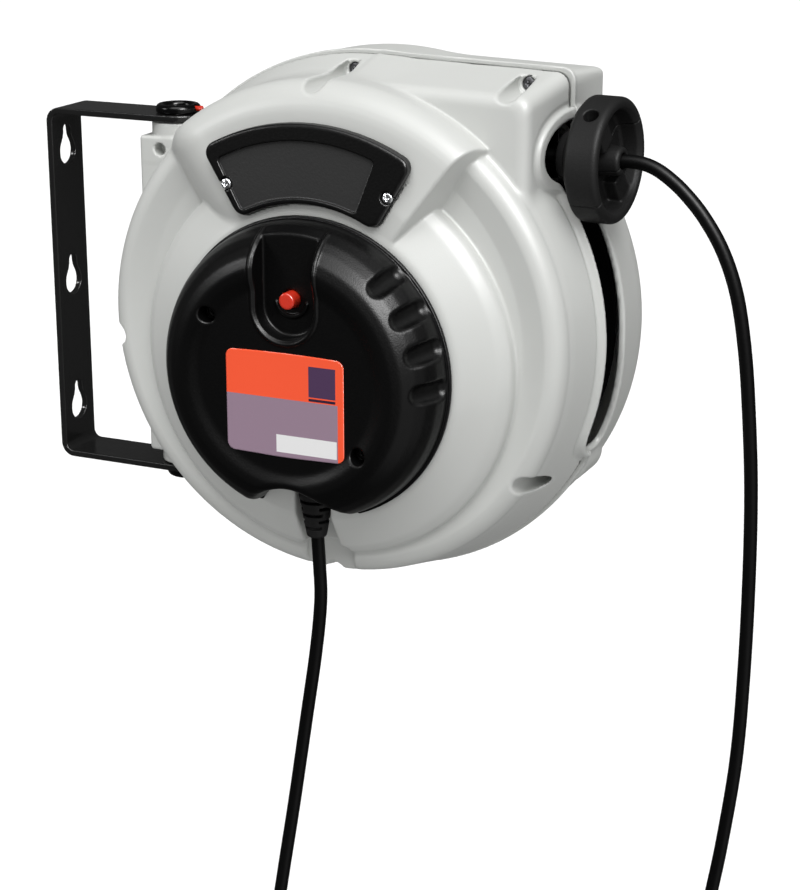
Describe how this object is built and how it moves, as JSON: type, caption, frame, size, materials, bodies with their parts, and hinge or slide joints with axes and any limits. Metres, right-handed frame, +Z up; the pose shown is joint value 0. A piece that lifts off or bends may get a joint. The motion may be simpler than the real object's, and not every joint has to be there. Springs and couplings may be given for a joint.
{
  "type": "extension cord reel",
  "caption": "Wall-mounted automatic cord reel: moulded drum housing on a swivelling steel bracket, with front cap, cord stopper, inlet lead and plug.",
  "frame": {"origin": "on the back face of the wall bracket's plate, on its centreline, between the middle and lower keyholes, 38 mm below the drum axis", "axes": "+X out of the wall, +Z up, the front of the reel with its cap faces -Y"},
  "size_m": [0.47, 0.1965, 0.6818],
  "materials": {
    "housing_grey": "light grey moulded, fine satin grain",
    "black_plastic": "black moulded, fine grain",
    "inner_plastic": "dark grey moulded",
    "bracket_steel": "gloss black powder coat",
    "rubber": "matte black rubber",
    "cable_black": "satin black sheath",
    "red_plastic": "red moulded",
    "label_print": "printed film in flat colour fields, no text",
    "zinc_steel": "zinc plated",
    "brass": "turned brass",
    "copper": "turned copper",
    "spring_steel": "blued steel strip",
    "carbon": "pressed carbon",
    "nylon": "natural nylon"
  },
  "bodies": {
    "bracket": {"wall_bracket": "bracket_steel", "upper_pivot_pin": "zinc_steel", "lower_pivot_pin": "zinc_steel", "upper_pivot_cap": "black_plastic", "lower_pivot_cap": "black_plastic"},
    "housing": {"front_shell": "housing_grey", "rear_shell": "housing_grey", "shell_screw_1": "zinc_steel", "shell_screw_2": "zinc_steel", "shell_screw_3": "zinc_steel", "shell_screw_4": "zinc_steel", "shell_screw_5": "zinc_steel", "centre_cap": "black_plastic", "cap_screw_left": "bracket_steel", "cap_screw_right": "bracket_steel", "rating_label": "label_print", "thermal_breaker": "inner_plastic", "arc_cover": "black_plastic", "arc_cover_screw_left": "zinc_steel", "arc_cover_screw_right": "zinc_steel", "main_shaft": "zinc_steel", "terminal_block": "nylon", "inlet_clamp": "inner_plastic", "brush_holder": "inner_plastic", "brush_1": "carbon", "brush_2": "carbon", "brush_3": "carbon", "pawl_pin": "zinc_steel", "mouth_ring": "black_plastic", "inlet_boot": "rubber", "inlet_cord": "cable_black", "inlet_coil": "cable_black", "inlet_plug": "rubber"},
    "drum": {"drum_core": "inner_plastic", "drum_front_flange": "inner_plastic", "drum_rear_flange": "inner_plastic", "front_bush": "nylon", "rear_bush": "nylon", "spring_case": "inner_plastic", "spring_cover": "inner_plastic", "power_spring": "spring_steel", "ratchet_ring": "inner_plastic", "slip_ring_carrier": "inner_plastic", "slip_ring_1": "copper", "slip_ring_2": "copper", "slip_ring_3": "copper", "wound_cable": "cable_black"},
    "outgoing_cord": {"stopper_upper_half": "rubber", "stopper_lower_half": "rubber", "stopper_screw_1": "zinc_steel", "stopper_screw_2": "zinc_steel", "outlet_cord": "cable_black", "outlet_socket": "rubber", "socket_earth_pin": "brass"},
    "button": {"reset_button": "red_plastic"},
    "lock_pin": {"swivel_lock_pin": "red_plastic"},
    "pawl": {"ratchet_pawl": "zinc_steel"},
    "roller_upper": {"guide_roller_upper": "inner_plastic"},
    "roller_lower": {"guide_roller_lower": "inner_plastic"}
  },
  "joints": [
    {"name": "housing_swivel", "type": "hinge", "parent": "bracket", "child": "housing", "pos_m": [0.086, 0, 0.038], "axis": [0, 0, 1], "range_deg": [-60, 85]},
    {"name": "drum_spin", "type": "hinge", "parent": "housing", "child": "drum", "pos_m": [0.217, 0, 0.038], "axis": [0, 1, 0], "range_deg": [0, 50], "stiffness_Nm_per_rad": 0.4},
    {"name": "cord_pull", "type": "slide", "parent": "housing", "child": "outgoing_cord", "axis": [1, 0, 0], "range_m": [0, 0.0935]},
    {"name": "button_press", "type": "slide", "parent": "housing", "child": "button", "axis": [0, 1, 0], "range_m": [0, 0.003], "stiffness_N_per_m": 200},
    {"name": "lock_release", "type": "slide", "parent": "bracket", "child": "lock_pin", "axis": [-1, 0, 0], "range_m": [0, 0.0025], "stiffness_N_per_m": 150},
    {"name": "pawl_swing", "type": "hinge", "parent": "housing", "child": "pawl", "pos_m": [0.128, -0.05, 0.006], "axis": [0, -1, 0], "range_deg": [0, 18], "stiffness_Nm_per_rad": 0.05},
    {"name": "upper_roller_spin", "type": "hinge", "parent": "housing", "child": "roller_upper", "pos_m": [0.323, -0.0075, 0.1554], "axis": [0, 1, 0], "continuous": true},
    {"name": "lower_roller_spin", "type": "hinge", "parent": "housing", "child": "roller_lower", "pos_m": [0.323, -0.0075, 0.1346], "axis": [0, 1, 0], "continuous": true}
  ],
  "couplings": [
    {"joint": "cord_pull", "follows": "drum_spin", "m_per_rad": 0.107},
    {"joint": "upper_roller_spin", "follows": "drum_spin", "ratio": -17.833},
    {"joint": "lower_roller_spin", "follows": "drum_spin", "ratio": 17.833}
  ]
}
